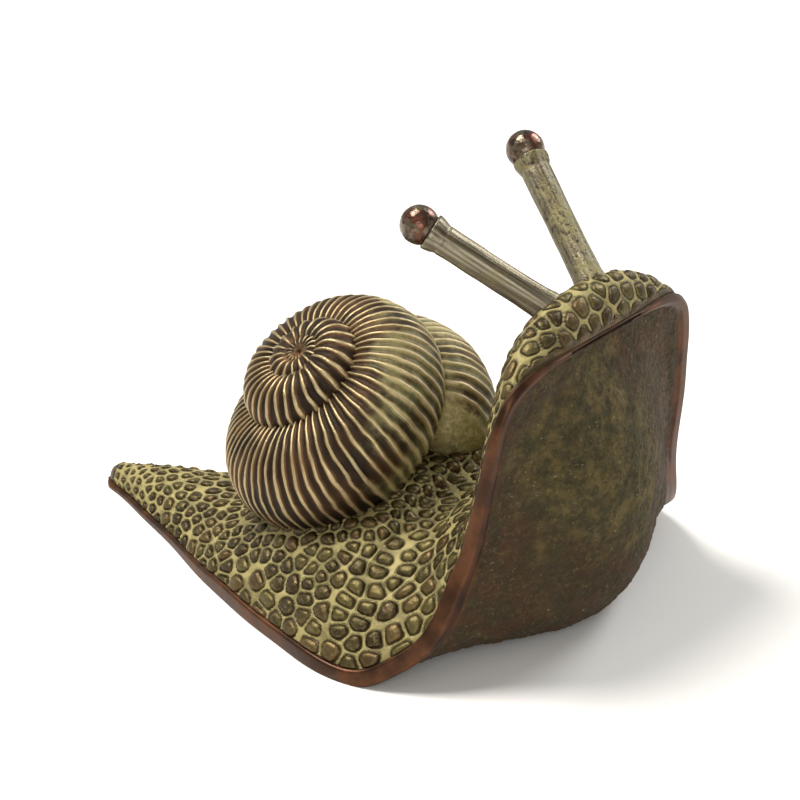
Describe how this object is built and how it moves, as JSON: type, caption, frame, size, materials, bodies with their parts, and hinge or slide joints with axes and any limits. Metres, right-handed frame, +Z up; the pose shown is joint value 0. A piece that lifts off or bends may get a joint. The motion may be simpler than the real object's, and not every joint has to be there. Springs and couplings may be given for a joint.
{
  "type": "snail figurine",
  "caption": "Small patinated cast bronze snail, rearing, with a pebbled body, a ribbed coiled shell, a smooth rim round its foot and two beaded eye stalks.",
  "frame": {"origin": "on the table, under the middle of the bounding box", "axes": "+X is where the snail looks, +Y is its left, +Z is up"},
  "size_m": [0.0766, 0.0594, 0.0551],
  "materials": {
    "skin": "patinated cast bronze, dark olive brown with yellow-green patina in the grooves",
    "sole": "cast bronze, smooth red-brown rim and rough ochre-brown sole",
    "shell": "patinated cast bronze, golden rib crests over dark grooves",
    "stalk": "satin grey bronze, lightly drawn along its length",
    "bead": "polished dark copper-red bronze",
    "steel": "plain bright steel",
    "pin": "plain drawn bronze"
  },
  "bodies": {
    "root": {"back_casting": "skin", "foot_casting": "sole", "shell_casting": "shell", "eye_stalk_left": "stalk", "eye_stalk_right": "stalk", "eye_bead_left": "bead", "eye_bead_right": "bead", "shell_stud": "steel", "shell_washer": "steel", "shell_nut": "steel", "foot_pins": "pin"}
  },
  "joints": []
}
